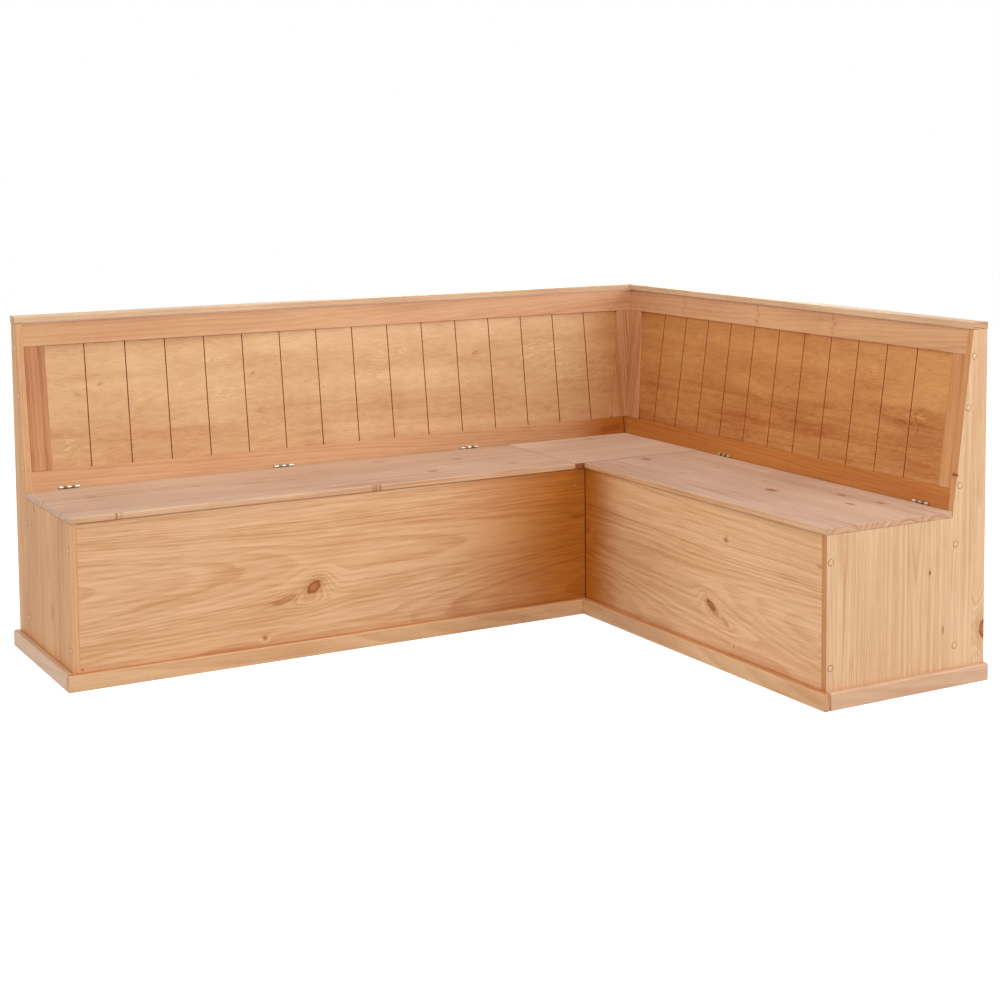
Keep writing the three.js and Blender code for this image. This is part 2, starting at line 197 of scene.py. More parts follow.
# The sockets of a Mix node for colours
MIX_FIRST = 6
MIX_SECOND = 7
MIX_RESULT = 2


class Nodes:
    """Adds nodes to a tree, joined as they are made."""

    def __init__(self, tree):
        self.tree = tree

    def add(self, kind, sockets=None, **settings):
        """A node of that kind, with its settings and what is put in its sockets."""
        node = self.tree.nodes.new("ShaderNode" + kind)
        for name, value in settings.items():
            setattr(node, name, value)
        for name, value in (sockets or {}).items():
            self.put(node.inputs[name], value)
        return node

    def put(self, socket, value):
        """Joins another node's output to a socket, or sets a plain value on it."""
        if isinstance(value, bpy.types.NodeSocket):
            self.tree.links.new(value, socket)
        else:
            socket.default_value = value

    def math(self, operation, *values):
        """The result of an operation on numbers."""
        node = self.add("Math", operation=operation)
        for socket, value in zip(node.inputs, values):
            self.put(socket, value)
        return node.outputs[0]

    def vector(self, operation, *values, out="Vector"):
        """The result of an operation on vectors."""
        node = self.add("VectorMath", operation=operation)
        for socket, value in zip(node.inputs, values):
            self.put(socket, value)
        return node.outputs[out]

    def scaled(self, vector, factors):
        """A vector with each coordinate times its factor."""
        return self.vector("MULTIPLY", vector, factors)

    def parts(self, vector):
        """The three coordinates of a vector."""
        return self.add("SeparateXYZ", {"Vector": vector}).outputs

    def apart(self, first, second):
        """How far apart two numbers are."""
        return self.math("ABSOLUTE", self.math("SUBTRACT", first, second))

    def total(self, *terms):
        """The sum of numbers, each times its weight."""
        total = 0.0
        for value, weight in terms:
            total = self.math("MULTIPLY_ADD", value, weight, total)
        return total

    def step(self, value, low, high, out_low=0.0, out_high=1.0):
        """Goes smoothly from out_low to out_high as value goes from low to high."""
        sockets = {"Value": value, "From Min": low, "From Max": high, "To Min": out_low, "To Max": out_high}
        return self.add("MapRange", sockets, interpolation_type="SMOOTHSTEP").outputs["Result"]

    def noise(self, place, scale=None, detail=2.0, distortion=0.0, seed=0.0):
        """Noise from 0 to 1 whose mean is about a half, with its scale in features per metre each way."""
        vector = self.scaled(place, scale) if scale else place
        sockets = {"Vector": vector, "W": seed, "Scale": 1.0, "Detail": detail, "Distortion": distortion}
        return self.add("TexNoise", sockets, noise_dimensions="4D").outputs["Fac"]

    def sway(self, place, scale, detail=2.0, seed=0.0):
        """Noise whose mean is about 0."""
        return self.math("SUBTRACT", self.noise(place, scale, detail, seed=seed), 0.5)

    def random(self, value, seed):
        """A random number from 0 to 1 that stays the same for the same value and seed."""
        both = self.add("CombineXYZ", {"X": value, "Y": seed}).outputs[0]
        return self.add("TexWhiteNoise", {"Vector": both}, noise_dimensions="3D").outputs["Value"]

    def mix(self, factor, first, second, blend="MIX"):
        """A colour that goes from the first to the second as the factor goes from 0 to 1."""
        node = self.add("Mix", data_type="RGBA", blend_type=blend, clamp_factor=True)
        self.put(node.inputs["Factor"], factor)
        self.put(node.inputs[MIX_FIRST], first)
        self.put(node.inputs[MIX_SECOND], second)
        return node.outputs[MIX_RESULT]

    def mix_shaders(self, factor, first, second):
        """A shader that goes from the first to the second as the factor goes from 0 to 1."""
        node = self.add("MixShader", {"Fac": factor})
        self.put(node.inputs[1], first.outputs[0])
        self.put(node.inputs[2], second.outputs[0])
        return node.outputs[0]

    def seen_directly(self):
        """1 for a ray from the camera, from a reflection or through glass, and otherwise 0."""
        rays = self.add("LightPath").outputs
        seen = self.math("MAXIMUM", rays["Is Camera Ray"], rays["Is Glossy Ray"])
        return self.math("MAXIMUM", seen, rays["Is Transmission Ray"])


def srgb(red, green, blue):
    """A colour given as it looks on a screen, 0 to 255, as Blender's linear one."""
    def linear(value):
        value /= 255
        return value / 12.92 if value <= 0.04045 else ((value + 0.055) / 1.055) ** 2.4

    return (linear(red), linear(green), linear(blue), 1.0)


def surface(name):
    """A new material, its nodes and its main shader."""
    material = bpy.data.materials.new(name)
    material.use_nodes = True
    tree = material.node_tree
    return material, Nodes(tree), tree.nodes["Principled BSDF"]


# Places on a board

FACING_RANGE = (0.6, 0.9)


def grain_turn(board):
    """The rotation from the bench's directions to a board's own: x along the grain, z out of its face."""
    return Matrix((board.along, board.depth.cross(board.along), board.depth))


def own_place(nodes, board):
    """Where a point lies in a board's own directions, measured from its origin, and the normal there."""
    turn = grain_turn(board)
    texture = nodes.add("TexCoord")
    sockets = {
        "Vector": texture.outputs["Object"],
        "Location": -(turn @ Vector(board.origin)),
        "Rotation": turn.to_euler(),
    }
    return nodes.add("Mapping", sockets).outputs[0], texture.outputs["Normal"]


def offset_from(nodes, place, board, point):
    """How far each place on a board lies from a point of the bench, along the grain and across it."""
    along, across, _ = grain_turn(board) @ (Vector(point) - Vector(board.origin))
    return nodes.vector("SUBTRACT", place, (along, across, 0))


def unslanted(nodes, offset, slant):
    """An offset turned back by the slant of the mark that it is measured from."""
    sockets = {"Vector": offset, "Angle": -slant}
    return nodes.add("VectorRotate", sockets, rotation_type="Z_AXIS").outputs[0]


def reach_in(nodes, offset, along, across):
    """How long an offset is, in units of the half lengths of an oval."""
    return nodes.vector("LENGTH", nodes.scaled(offset, (1 / along, 1 / across, 0)), out="Value")


def facing(nodes, normal, direction, most=1.0):
    """That much where a surface faces a direction or its opposite, and otherwise 0."""
    toward = nodes.vector("DOT_PRODUCT", normal, tuple(direction), out="Value")
    return nodes.step(nodes.math("ABSOLUTE", toward), *FACING_RANGE, 0.0, most)


# Lacquer, and painted shade: a darkening towards inner corners, a dark line in the seam there, and a shadow
# under a lid's lip

ROUGHNESS = 0.45
ROUGHNESS_SWAY = 0.2
# Painted shade towards an inner corner and in its seam, and a painted shadow along a front board's top
# under the lid's lip
SHADE_CORE = 0.07
SHADE_TINT = (0.66, 0.37, 0.08, 1.0)
SEAM_WIDTH = 0.0022
SHADE_BROWN = srgb(96, 44, 20)
LID_SHADOW_WIDTH = 0.0045
LID_SHADOW_STRENGTH = 0.42


def lacquered(nodes, shader, colour, marks, gloss, relief):
    """Gives a wood's shader its colour, a roughness that follows its marks, its gloss and its relief."""
    height, strength, distance = relief
    nodes.put(shader.inputs["Base Color"], colour)
    nodes.put(shader.inputs["Roughness"], nodes.total((marks, ROUGHNESS_SWAY), (1.0, ROUGHNESS)))
    nodes.put(shader.inputs["Specular IOR Level"], gloss)
    bump = nodes.add("Bump", {"Height": height, "Strength": strength, "Distance": distance})
    nodes.put(shader.inputs["Normal"], bump.outputs[0])


def with_corner_shade(nodes, colour, place, board):
    """The colour of a board with painted shade that deepens it towards an inner corner, and a dark line of
    painted shade in the seam itself.
    """
    seam = board.along.dot(Vector(board.shade_corner) - Vector(board.origin))
    away = nodes.apart(nodes.parts(place)[0], seam)
    shade_amount = nodes.step(away, board.shade_reach, board.shade_reach * SHADE_CORE)
    colour = nodes.mix(shade_amount, colour, SHADE_TINT, blend="MULTIPLY")
    return nodes.mix(nodes.step(away, SEAM_WIDTH, SEAM_WIDTH * 0.5), colour, SHADE_BROWN)


def painted_lid_shadow(nodes, colour, place, board):
    """The colour of an upright board with a painted shadow along its top, under the lip of a lid."""
    away = nodes.apart(nodes.parts(place)[1], board.lid_shadow_top - board.origin[2])
    near = nodes.step(away, LID_SHADOW_WIDTH, LID_SHADOW_WIDTH * 0.4, 0.0, LID_SHADOW_STRENGTH)
    return nodes.mix(near, colour, SHADE_BROWN)


# Knots

@dataclass
class Knot:
    """A knot at a point of the bench: its radius, how many times longer it is along the grain, the slant
    of its long side and how dark it is."""
    point: tuple
    radius: float
    stretch: float = 1.6
    slant: float = 0.0
    dark: float = 1.0


LARGE_KNOT = 0.015
KNOT_RIM = srgb(146, 80, 38)
KNOT_EYE = srgb(184, 114, 60)
KNOT_PUSH = 0.9
PUSH_FALL = -0.16
RAGGED_SCALE = (120, 120, 120)
RAGGED_SEED = 7.0
RAGGED_SHARE = 0.6
CORE_RANGE = (1.1, 0.8)
EYE_RANGE = (0.75, 0.45)
HALO_RANGE = (2.4, 0.9)


def marks_of_knots(nodes, place, board):
    """What the knots of a board do together: how far they push its rings, their cores, the pale eyes of
    large ones, and their halos."""
    push = 0.0
    core = 0.0
    eye = 0.0
    halo = 0.0
    ragged = nodes.sway(place, RAGGED_SCALE, detail=3, seed=RAGGED_SEED)
    for knot in board.knots:
        offset = unslanted(nodes, offset_from(nodes, place, board, knot.point), knot.slant)
        reach = reach_in(nodes, offset, knot.radius * knot.stretch, knot.radius)
        swell = nodes.math("EXPONENT", nodes.math("MULTIPLY", nodes.math("POWER", reach, 2.0), PUSH_FALL))
        push = nodes.math("MULTIPLY_ADD", swell, knot.radius * KNOT_PUSH * knot.dark, push)
        reach = nodes.total((reach, 1.0), (ragged, RAGGED_SHARE))
        size = min(1.0, knot.radius / LARGE_KNOT)
        core = nodes.math("MAXIMUM", core, nodes.step(reach, *CORE_RANGE, 0.0, knot.dark))
        eye = nodes.math("MAXIMUM", eye, nodes.step(reach, *EYE_RANGE, 0.0, size))
        halo = nodes.math("MAXIMUM", halo, nodes.step(reach, *HALO_RANGE, 0.0, knot.dark))
    return push, core, eye, halo


# Pine

@dataclass
class Crown:
    """The innermost tongue of a board's rings: its tip, which way along the grain it opens, its slant."""
    tip: tuple
    opens: int = 1
    slant: float = 0.0


@dataclass
class Tones:
    """The colours of a board as they look on a screen: between its rings and on them, on its faces and
    on the long edges that show its thickness."""
    light: tuple
    deep: tuple
    edge_light: tuple = ()
    edge_deep: tuple = ()


@dataclass
class Pine:
    """How a pine board was sawn and finished: the directions of its grain and of its face, its crowns
    and colours, the width of a ring, how flat, tapered and wandering the rings are, how strongly each
    mark shows, the width of its staves, its gloss and knots, the place along it towards which painted
    shade deepens its colour and from how far, and the height of the lid's lip under which a painted
    shadow lies."""
    along: Vector
    depth: Vector
    crowns: tuple
    tones: Tones
    ring: float = 0.0042
    bow: float = 0.3
    taper: float = 0.022
    wander: float = 0.005
    lines: float = 0.3
    bands: float = 0.35
    clouds: float = 0.35
    streaks: float = 0.5
    stave: float = 0.0
    stave_tone: float = 0.35
    gloss: float = 0.3
    seed: float = 0.0
    knots: tuple = ()
    # Painted shade: the place towards which the board deepens and from how far, and the top under the lid's
    # lip where a painted shadow lies
    shade_corner: tuple = ()
    shade_reach: float = 0.56
    lid_shadow_top: float = 0.0

    @property
    def origin(self):
        """The point from which places on the board are measured."""
        return self.crowns[0].tip


# Scales are along the grain, across it and into the board, and a share is the weight of a mark
CROWN_BLEND = 0.012
BEHIND_TIP = 0.25
BEND_SCALE = (1.6, 9, 9)
BEND_SHARE = 2.0
RIPPLE_SCALE = (11, 60, 60)
RIPPLE_SHARE = 0.2
STAVE_SWAY = 1.8
STAVE_SLIDE = 1.5
STAVE_LIFT = 0.9
GLUE_WIDTH = 0.0008
AUTUMN_COMES = (0.2, 0.86)
AUTUMN_ENDS = (1.0, 0.9)
YEAR_SWAY = 0.75
BAND_RATE = 0.33
BAND_RANGE = (0.35, 0.68)
CLOUD_SCALE = (2.2, 9, 9)
CLOUD_RANGE = (0.3, 0.7)
STREAK_SCALE = (4.5, 130, 130)
FIBRE_SCALE = (18, 420, 420)
FIBRE_SHARE = 0.75
PORE_SCALE = (60, 900, 900)
PORE_RANGE = (0.66, 0.8)
PORE_SHARE = 0.35
PORE = srgb(150, 92, 54)
GLUE_SHARE = 0.4
HALO_SHARE = 0.45
EVEN_SHARE = 0.1
END_LIGHT = srgb(238, 186, 138)
END_DEEP = srgb(126, 60, 32)
END_LINES = 0.9
END_BANDS = 0.5
END_FIBRES = 0.25
END_STRENGTH = 0.8
LINE_RELIEF = 0.5
PINE_RELIEF = (0.18, 0.0004)


def staves(nodes, place, board):
    """Splits a board into glued staves: the place of a point in its own stave's tree, a random number of
    the stave, and where the glue lines run."""
    x, y, z = nodes.parts(place)
    share = nodes.math("DIVIDE", y, board.stave)
    index = nodes.math("FLOOR", share)
    middle = nodes.math("SUBTRACT", nodes.math("FRACT", share), 0.5)
    chance = nodes.random(index, board.seed)
    sway = nodes.math("SUBTRACT", nodes.random(index, board.seed + 1), 0.5)
    y = nodes.math("MULTIPLY", nodes.total((middle, 1.0), (sway, STAVE_SWAY)), board.stave)
    x = nodes.total((x, 1.0), (chance, STAVE_SLIDE))
    z = nodes.total((z, 1.0), (nodes.random(index, board.seed + 2), STAVE_LIFT))
    glue = nodes.step(nodes.math("ABSOLUTE", middle), 0.5 - GLUE_WIDTH / board.stave, 0.5)
    return nodes.add("CombineXYZ", {"X": x, "Y": y, "Z": z}).outputs[0], chance, glue


def growth(nodes, place, board):
    """How far out in its tree each point of a board grew, without its knots."""
    distance = None
    for crown in board.crowns:
        offset = unslanted(nodes, offset_from(nodes, place, board, crown.tip), crown.slant)
        x, y, _ = nodes.parts(offset)
        inward = nodes.math("MULTIPLY", x, -crown.opens * board.taper)
        inward = nodes.math("MINIMUM", inward, nodes.math("MULTIPLY", inward, BEHIND_TIP))
        bulge = nodes.total((nodes.math("MULTIPLY", y, y), 0.5 / board.bow), (inward, 1.0))
        distance = bulge if distance is None else nodes.math("SMOOTH_MIN", distance, bulge, CROWN_BLEND)
    bend = nodes.sway(place, BEND_SCALE, seed=board.seed)
    ripple = nodes.sway(place, RIPPLE_SCALE, seed=board.seed + 3)
    return nodes.total(
        (distance, 1.0),
        (nodes.parts(place)[2], 1.0),
        (bend, board.wander * BEND_SHARE),
        (ripple, board.wander * RIPPLE_SHARE),
    )


def year_marks(nodes, rings, board):
    """The line that ends each year, stronger in some than in others, and bands of darker years."""
    season = nodes.math("FRACT", rings)
    autumn = nodes.math("MULTIPLY", nodes.step(season, *AUTUMN_COMES), nodes.step(season, *AUTUMN_ENDS))
    good_year = nodes.random(nodes.math("FLOOR", rings), board.seed + 5)
    line = nodes.math("MULTIPLY", autumn, nodes.total((good_year, YEAR_SWAY), (1.0, 1 - YEAR_SWAY)))
    decade = nodes.add("CombineXYZ", {"X": nodes.math("MULTIPLY", rings, BAND_RATE)}).outputs[0]
    return line, nodes.step(nodes.noise(decade, seed=board.seed), *BAND_RANGE)


def toned(nodes, depth, normal, board):
    """The colour of a board's faces and long edges where its marks are that deep."""
    tones = board.tones
    colour = nodes.mix(depth, srgb(*tones.light), srgb(*tones.deep))
    if tones.edge_light:
        edge = nodes.mix(depth, srgb(*tones.edge_light), srgb(*tones.edge_deep))
        colour = nodes.mix(facing(nodes, normal, board.depth.cross(board.along)), colour, edge)
    return colour


def pine_material(name, board):
    """Lacquered pine, as a solid cut from a tree: rings that bulge at the crowns, knots that push them
    aside, fibres along the grain, and staves of different tone."""
    material, nodes, shader = surface(name)
    place, normal = own_place(nodes, board)
    tree_place, chance, glue = place, 0.5, 0.0
    if board.stave:
        tree_place, chance, glue = staves(nodes, place, board)
    push, core, eye, halo = marks_of_knots(nodes, place, board)
    rings = nodes.total((growth(nodes, tree_place, board), 1 / board.ring), (push, 1 / board.ring))
    line, band = year_marks(nodes, rings, board)
    cloud = nodes.step(nodes.noise(place, CLOUD_SCALE, detail=3, seed=board.seed + 11), *CLOUD_RANGE)
    streak = nodes.sway(place, STREAK_SCALE, detail=3, seed=board.seed + 7)
    fibre = nodes.sway(place, FIBRE_SCALE, detail=3, seed=board.seed)
    pore = nodes.step(nodes.noise(place, PORE_SCALE, detail=1, seed=board.seed + 4), *PORE_RANGE)

    depth = nodes.total(
        (line, board.lines),
        (band, board.bands),
        (nodes.math("SUBTRACT", cloud, 0.5), board.clouds),
        (streak, board.streaks),
        (fibre, FIBRE_SHARE),
        (nodes.math("SUBTRACT", chance, 0.5), board.stave_tone),
        (glue, GLUE_SHARE),
        (halo, HALO_SHARE),
        (1.0, EVEN_SHARE),
    )
    colour = toned(nodes, depth, normal, board)
    colour = nodes.mix(nodes.math("MULTIPLY", pore, PORE_SHARE), colour, PORE)
    colour = nodes.mix(core, colour, nodes.mix(eye, KNOT_RIM, KNOT_EYE))
    # Painted shade towards an inner corner, with a dark line of painted shade in the seam
    if board.shade_corner:
        colour = with_corner_shade(nodes, colour, place, board)
    # A painted shadow along the top, under the lid's lip
    if board.lid_shadow_top:
        colour = painted_lid_shadow(nodes, colour, place, board)
    end_depth = nodes.total((line, END_LINES), (band, END_BANDS), (fibre, END_FIBRES))
    end_grain = nodes.mix(end_depth, END_LIGHT, END_DEEP)
    colour = nodes.mix(facing(nodes, normal, board.along, END_STRENGTH), colour, end_grain)
    height = nodes.total((line, LINE_RELIEF), (fibre, 1.0))
    lacquered(nodes, shader, colour, fibre, board.gloss, (height, *PINE_RELIEF))
    return material


# Plywood

@dataclass
class Veneer:
    """A plywood sheet: the directions of its grain and its face, the middle of its foot, its colours,
    how much painted shade deepens it towards its foot, the colour of its wisps, where they and its
    flecks lie, and the place along it towards which painted shade deepens it and from how far."""
    along: Vector
    depth: Vector
    origin: tuple
    light: tuple
    deep: tuple
    low: float
    seed: float
    wisp: tuple = (238, 206, 156)
    wisps: tuple = ()
    knots: tuple = ()
    # Painted shade: the place towards which the sheet deepens and from how far
    shade_corner: tuple = ()
    shade_reach: float = 0.42


# Scales and shares, as for pine
PLY_CLOUD_SCALE = (3.2, 9, 9)
PLY_CLOUD_RANGE = (0.3, 0.72)
PLY_CLOUD_SHARE = 0.3
PLY_BAND_SCALE = (0.9, 15, 15)
PLY_BAND_RANGE = (0.35, 0.7)
PLY_BAND_SHARE = 0.3
FIGURE_SCALE = (2.2, 13, 13)
CUT_RINGS = 6.0
CUT_RANGE = (0.1, 1.0)
CUT_SHARE = 0.07
MOTTLE_SCALE = (26, 60, 60)
MOTTLE_SHARE = 0.42
PLY_FIBRE_SCALE = (34, 380, 380)
PLY_FIBRE_SHARE = 0.9
SPECK_SCALE = (260, 420, 420)
SPECK_RANGE = (0.6, 0.74)
SPECK_SHARE = 0.4
FLECK_SHARE = 0.35
# Painted shade that deepens a sheet towards its foot: how far up it reaches, its fully deep share, how its
# edge sways and its strength
FOOT_SHADE_REACH = 0.19
FOOT_SHADE_CORE = 0.55
FOOT_SHADE_SWAY = 0.16
FOOT_SHADE_SHARE = 0.6
STRIPE_SCALE = (2.0, 58, 58)
STRIPE_RANGE = (0.38, 0.66)
WAVE_SCALE = (7, 38, 38)
WAVE_COUNT = 7.0
WAVE_WIDTH = 0.13
WISP_STRETCH = 2.4
WISP_STRENGTH = 0.54
PLY_GLOSS = 0.3
PLY_RELIEF = (0.12, 0.0003)


def wisps_of(nodes, place, sheet):
    """Pale wavy lines about the places of a sheet's wisps, where a noise passes evenly spaced values."""
    wave = nodes.noise(place, WAVE_SCALE, distortion=0.7, seed=sheet.seed + 5)
    wave = nodes.math("FRACT", nodes.math("MULTIPLY", wave, WAVE_COUNT))
    line = nodes.step(nodes.apart(wave, 0.5), WAVE_WIDTH, WAVE_WIDTH * 0.2)
    near = 0.0
    for point, size in sheet.wisps:
        reach = reach_in(nodes, offset_from(nodes, place, sheet, point), size * WISP_STRETCH, size)
        near = nodes.math("MAXIMUM", near, nodes.step(reach, 1.0, 0.5))
    return nodes.math("MULTIPLY", line, nodes.math("MULTIPLY", near, WISP_STRENGTH))


def veneer_material(name, sheet):
    """Rotary-cut veneer: cloudy bands along the sheet, each with one sharper edge, a brushed fibre, pale
    wavy wisps where the knife followed a ring, and flecks."""
    material, nodes, shader = surface(name)
    place, _ = own_place(nodes, sheet)
    _, core, _, halo = marks_of_knots(nodes, place, sheet)
    cloud = nodes.noise(place, PLY_CLOUD_SCALE, detail=4, distortion=0.6, seed=sheet.seed)
    band = nodes.noise(place, PLY_BAND_SCALE, distortion=0.3, seed=sheet.seed + 1)
    mottle = nodes.sway(place, MOTTLE_SCALE, detail=3, seed=sheet.seed + 2)
    fibre = nodes.sway(place, PLY_FIBRE_SCALE, detail=3, seed=sheet.seed + 3)
    figure = nodes.noise(place, FIGURE_SCALE, distortion=0.5, seed=sheet.seed + 4)
    cut_ring = nodes.math("FRACT", nodes.math("MULTIPLY", figure, CUT_RINGS))
    stripe = nodes.noise(place, STRIPE_SCALE, distortion=0.5, seed=sheet.seed + 6)
    speck = nodes.noise(place, SPECK_SCALE, detail=1)
    # Painted shade towards the sheet's foot, with dark stripes there
    height = nodes.total((nodes.parts(place)[1], 1.0), (nodes.math("SUBTRACT", figure, 0.5), FOOT_SHADE_SWAY))
    low = nodes.step(height, FOOT_SHADE_REACH, FOOT_SHADE_REACH * FOOT_SHADE_CORE)

    depth = nodes.total(
        (nodes.step(cloud, *PLY_CLOUD_RANGE), PLY_CLOUD_SHARE),
        (nodes.step(band, *PLY_BAND_RANGE), PLY_BAND_SHARE),
        (nodes.step(cut_ring, *CUT_RANGE), CUT_SHARE),
        (mottle, MOTTLE_SHARE),
        (fibre, PLY_FIBRE_SHARE),
        (low, sheet.low * FOOT_SHADE_SHARE),
        (nodes.math("MULTIPLY", low, nodes.step(stripe, *STRIPE_RANGE)), sheet.low),
        (halo, FLECK_SHARE),
        (nodes.step(speck, *SPECK_RANGE), SPECK_SHARE),
    )
    colour = nodes.mix(depth, srgb(*sheet.light), srgb(*sheet.deep))
    colour = nodes.mix(wisps_of(nodes, place, sheet), colour, srgb(*sheet.wisp))
    colour = nodes.mix(core, colour, KNOT_RIM)
    # Painted shade towards an inner corner, with a dark line of painted shade in the seam
    if sheet.shade_corner:
        colour = with_corner_shade(nodes, colour, place, sheet)
    lacquered(nodes, shader, colour, mottle, PLY_GLOSS, (fibre, *PLY_RELIEF))
    return material


# Stain, painted shade and metal

GROOVE_STAIN = srgb(114, 42, 8)
# A dark colour that paints the shade in the gap round each plug
GAP_SHADE = srgb(104, 56, 28)
SPOT_SHADE = srgb(58, 30, 18)
STAIN_SCALE = (90, 90, 14)
STAIN_RANGE = (0.35, 0.75)
STAIN_FADES = 1.8
STAIN_ROUGHNESS = 0.8
STAIN_GLOSS = 0.1
NICKEL = (srgb(228, 222, 208), srgb(198, 190, 172))
# A darker copy of the nickel, which paints the shade on the lid leaves
SHADED_NICKEL = (srgb(142, 132, 114), srgb(104, 94, 78))
BRUSHED_SCALE = (120, 1400, 1400)
CLOUDED_SCALE = (70, 70, 70)
CLOUDED_RANGE = (0.3, 0.7)
NICKEL_ROUGHNESS = 0.2


def stain_and_shade_material(name, colour):
    """Stain that has run into a groove, or a dark colour painted as shade in a gap or a corner spot, uneven
    along it.
    """
    material, nodes, shader = surface(name)
    uneven = nodes.noise(nodes.add("TexCoord").outputs["Object"], STAIN_SCALE)
    faded = tuple(min(1.0, channel * STAIN_FADES) for channel in colour[:3]) + (1.0,)
    nodes.put(shader.inputs["Base Color"], nodes.mix(nodes.step(uneven, *STAIN_RANGE), colour, faded))
    nodes.put(shader.inputs["Roughness"], STAIN_ROUGHNESS)
    nodes.put(shader.inputs["Specular IOR Level"], STAIN_GLOSS)
    return material


def nickel_material(name, bright, dull):
    """Nickel plate, slightly brushed and clouded by handling."""
    material, nodes, shader = surface(name)
    place = nodes.add("TexCoord").outputs["Object"]
    brushed = nodes.noise(place, BRUSHED_SCALE)
    clouded = nodes.step(nodes.noise(place, CLOUDED_SCALE, detail=3, seed=2), *CLOUDED_RANGE)
    nodes.put(shader.inputs["Base Color"], nodes.mix(clouded, bright, dull))
    nodes.put(shader.inputs["Metallic"], 1.0)
    nodes.put(shader.inputs["Roughness"], nodes.total((brushed, ROUGHNESS_SWAY), (1.0, NICKEL_ROUGHNESS)))
    return material


# Small fittings

PLUG_COUNT = 7
PLUG_RADIUS = 0.0070
PLUG_SHOULDER = 0.0079
PLUG_SINK = 0.0009
PLUG_FOOT = 0.0075
PLUG_RISE = 0.0014
PLUG_RINGS = 5
PLUG_SIDES = 32
PLUG_SEED = 20
PLUG_MARKS = {"ring": 0.003, "wander": 0.003}
SCREW_RADIUS = 0.0026
SCREW_RISE = 0.0005
SCREW_FOOT = 0.001
SCREW_RINGS = 4
SCREW_SIDES = 24
SLOT_LENGTH = SCREW_RADIUS * 1.3
SLOT_WIDTH = 0.0008
SLOT_DEPTH = 0.0006
SCREW_INSET = 0.010
SCREW_DROP = 0.0095
HINGE_HALF = 0.0275
FIXED_LEAF_FACE = 0.0023
LID_LEAF_FACE = 0.00116
NAIL_RADIUS = 0.0016
NAIL_RISE = 0.0006
NAIL_RINGS = 3
NAIL_SIDES = 16
SPOT_RADIUS = 0.0021
SPOT_RISE = 0.0002
SPOT_RINGS = 2
LANDING_RUN = 0.05
NAIL_PLACE = (0.4745, LONG_FRONT, 0.3715)
# Points by the corner stiles where dark spots paint the shade at the corners of the back panels' rebates
CORNER_SHADE_SPOTS = {
    "long": ((0.9090, 0.757, 0.8150), (0.8630, 0.712, 0.4895)),
    "short": ((0.964, 0.6822, 0.8150), (0.919, 0.6362, 0.4895)),
}


def lathe(profile, sides):
    """A closed turned mesh about +Z from a profile of radii and heights, from its foot to its tip."""
    work = bmesh.new()
    rings = []
    for radius, height in profile:
        if radius == 0:
            rings.append([work.verts.new((0, 0, height))])
            continue
        angles = [2 * math.pi * i / sides for i in range(sides)]
        rings.append([work.verts.new((radius * math.cos(a), radius * math.sin(a), height)) for a in angles])
    for low, high in zip(rings, rings[1:]):
        for i in range(sides):
            after = (i + 1) % sides
            foot = (low[i % len(low)], low[after % len(low)])
            head = (high[after % len(high)], high[i % len(high)])
            work.faces.new(list(dict.fromkeys(foot + head)))
    bmesh.ops.recalc_face_normals(work, faces=work.faces)
    return mesh_of(work, "turned")


def dome(radius, foot, rise, rings):
    """A lathe profile: a round foot of that depth below 0, and a dome that rises above it."""
    ball = (radius**2 + rise**2) / (2 * rise)
    rim = math.asin(radius / ball)
    arc = [rim * (1 - i / rings) for i in range(rings)]
    curve = [(ball * math.sin(a), rise - ball * (1 - math.cos(a))) for a in arc]
    return [(0, -foot), (radius, -foot)] + curve + [(0, rise)]


def set_down(mesh, place, normal):
    """Turns a mesh whose foot faces -Z so that its tip faces that way, at that place."""
    mesh.transform(Matrix.Translation(place) @ normal.to_track_quat("Z", "Y").to_matrix().to_4x4())


def landed(node, place, normal):
    """Where a line that comes in against that normal, through that place, meets a CAD node."""
    mesh = frame["nodes"][node].data
    faces = BVHTree.FromPolygons([v.co for v in mesh.vertices], [tuple(p.vertices) for p in mesh.polygons])
    return faces.ray_cast(Vector(place) + normal * LANDING_RUN, -normal)[0]


def plugs(gap_shade):
    """Domed wooden plugs in the end panels, each cut from another stick, with their sunken shoulder in a
    dark colour that paints the shade in the gap round them.
    """
    profile = dome(PLUG_RADIUS, PLUG_SINK, PLUG_RISE, PLUG_RINGS)
    profile = [(0, -PLUG_FOOT), (PLUG_SHOULDER, -PLUG_FOOT), (PLUG_SHOULDER, -PLUG_SINK)] + profile[1:]
    for wing in WINGS:
        for number in range(1, PLUG_COUNT + 1):
            node = f"{wing}_end_plug_{number}"
            low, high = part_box(node)
            middle = (low + high) / 2
            half_length = (high - low).dot(Vector(map(abs, END[wing]))) / 2
            mesh = lathe(profile, PLUG_SIDES)
            in_gap = [polygon.center.z < -PLUG_SINK / 4 for polygon in mesh.polygons]
            set_down(mesh, middle + END[wing] * (half_length - PLUG_RISE), END[wing])
            stick = Pine(UP, END[wing], (Crown(middle),), PLUG_TONES, seed=PLUG_SEED + number, **PLUG_MARKS)
            mesh.materials.append(pine_material("plug_" + node, stick))
            # The sunken shoulder gets a dark colour that paints the shade in the gap round the plug
            mesh.materials.append(gap_shade)
            mesh.polygons.foreach_set("material_index", in_gap)
            finished("look_" + node, mesh, "carcass", [node])


